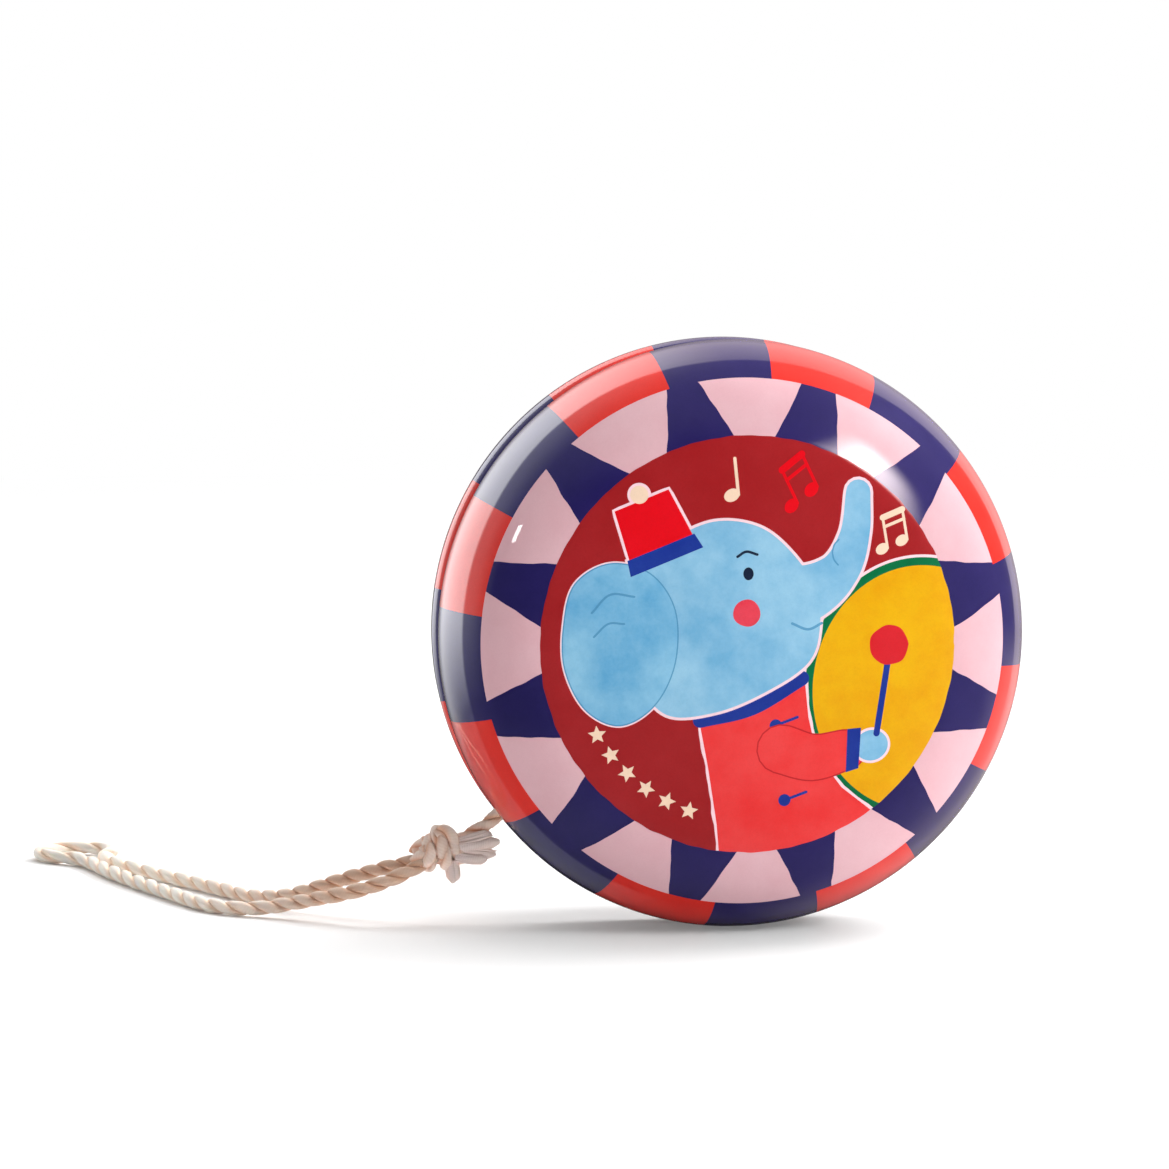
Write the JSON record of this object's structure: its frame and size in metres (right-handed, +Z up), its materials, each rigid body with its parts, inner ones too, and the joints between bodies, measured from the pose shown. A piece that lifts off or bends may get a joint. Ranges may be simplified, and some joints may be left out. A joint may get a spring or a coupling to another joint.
{
  "type": "tin yo-yo",
  "caption": "Tin yo-yo on a riveted axle, two domed pressed shells with hemmed inner plates, and a wound cotton string ending in a knotted finger loop.",
  "frame": {"origin": "middle of the axle, halfway between the two halves; the surface the toy stands on is at z = -0.030", "axes": "+Y along the axle away from the front pictured face, +Z up, +X to the right seen from the front, with the string leaving towards -X"},
  "size_m": [0.1001, 0.0735, 0.06],
  "materials": {
    "printed_tin": "lithographed tinplate under clear gloss lacquer",
    "bare_tin": "dull bare tinplate",
    "brass": "plain turned brass",
    "steel": "plain zinc-coated steel",
    "cotton": "soft twisted unbleached cotton"
  },
  "bodies": {
    "string": {"string_axle_loop": "cotton", "string_winding": "cotton", "string_lead": "cotton", "string_knot": "cotton", "string_frayed_end": "cotton", "string_short_end": "cotton", "finger_loop": "cotton"},
    "yoyo": {"front_face_shell": "printed_tin", "rear_face_shell": "printed_tin", "front_inner_plate": "bare_tin", "rear_inner_plate": "bare_tin", "axle_sleeve": "brass", "axle_rivet": "steel", "front_axle_washer": "steel", "rear_axle_washer": "steel"}
  },
  "joints": [
    {"name": "yoyo_spin", "type": "hinge", "parent": "string", "child": "yoyo", "pos_m": [0, 0, 0], "axis": [0, 1, 0], "continuous": true}
  ]
}
